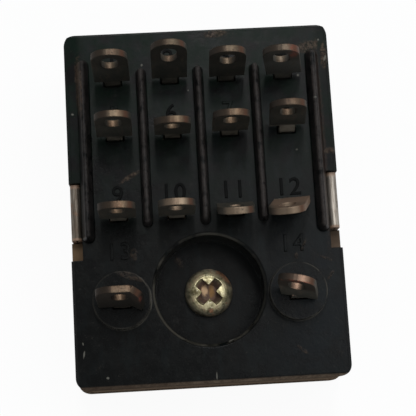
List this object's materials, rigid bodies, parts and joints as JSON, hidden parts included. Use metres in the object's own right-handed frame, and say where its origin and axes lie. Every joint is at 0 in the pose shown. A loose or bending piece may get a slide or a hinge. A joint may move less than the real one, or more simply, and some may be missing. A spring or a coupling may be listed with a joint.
{
  "type": "relay socket",
  "caption": "Rectangular plug-in relay socket with bent solder tabs, barrier ribs, a screw well and two side spring clips.",
  "frame": {"origin": "centre of the outline on the relay side, the face that the relay seats against and on which the socket lies", "axes": "+Z out of the solder side, +Y towards the row of terminals 1 to 4, +X towards terminals 4, 8, 12 and 14"},
  "size_m": [0.0216, 0.0276, 0.017],
  "materials": {
    "housing": "dark brown moulded phenolic",
    "cover": "black moulded phenolic, dusty and scuffed",
    "terminal": "tarnished tinned brass",
    "spring_steel": "bright spring steel, drawn lengthwise",
    "screw": "yellow zinc plate with rust in the recess",
    "nut": "plated steel"
  },
  "bodies": {
    "root": {"front_housing": "housing", "rear_cover": "cover", "terminal_1": "terminal", "terminal_2": "terminal", "terminal_3": "terminal", "terminal_4": "terminal", "terminal_5": "terminal", "terminal_6": "terminal", "terminal_7": "terminal", "terminal_8": "terminal", "terminal_9": "terminal", "terminal_10": "terminal", "terminal_11": "terminal", "terminal_12": "terminal", "terminal_13": "terminal", "terminal_14": "terminal", "left_spring_clip": "spring_steel", "right_spring_clip": "spring_steel", "assembly_screw": "screw", "retaining_nut": "nut"}
  },
  "joints": []
}
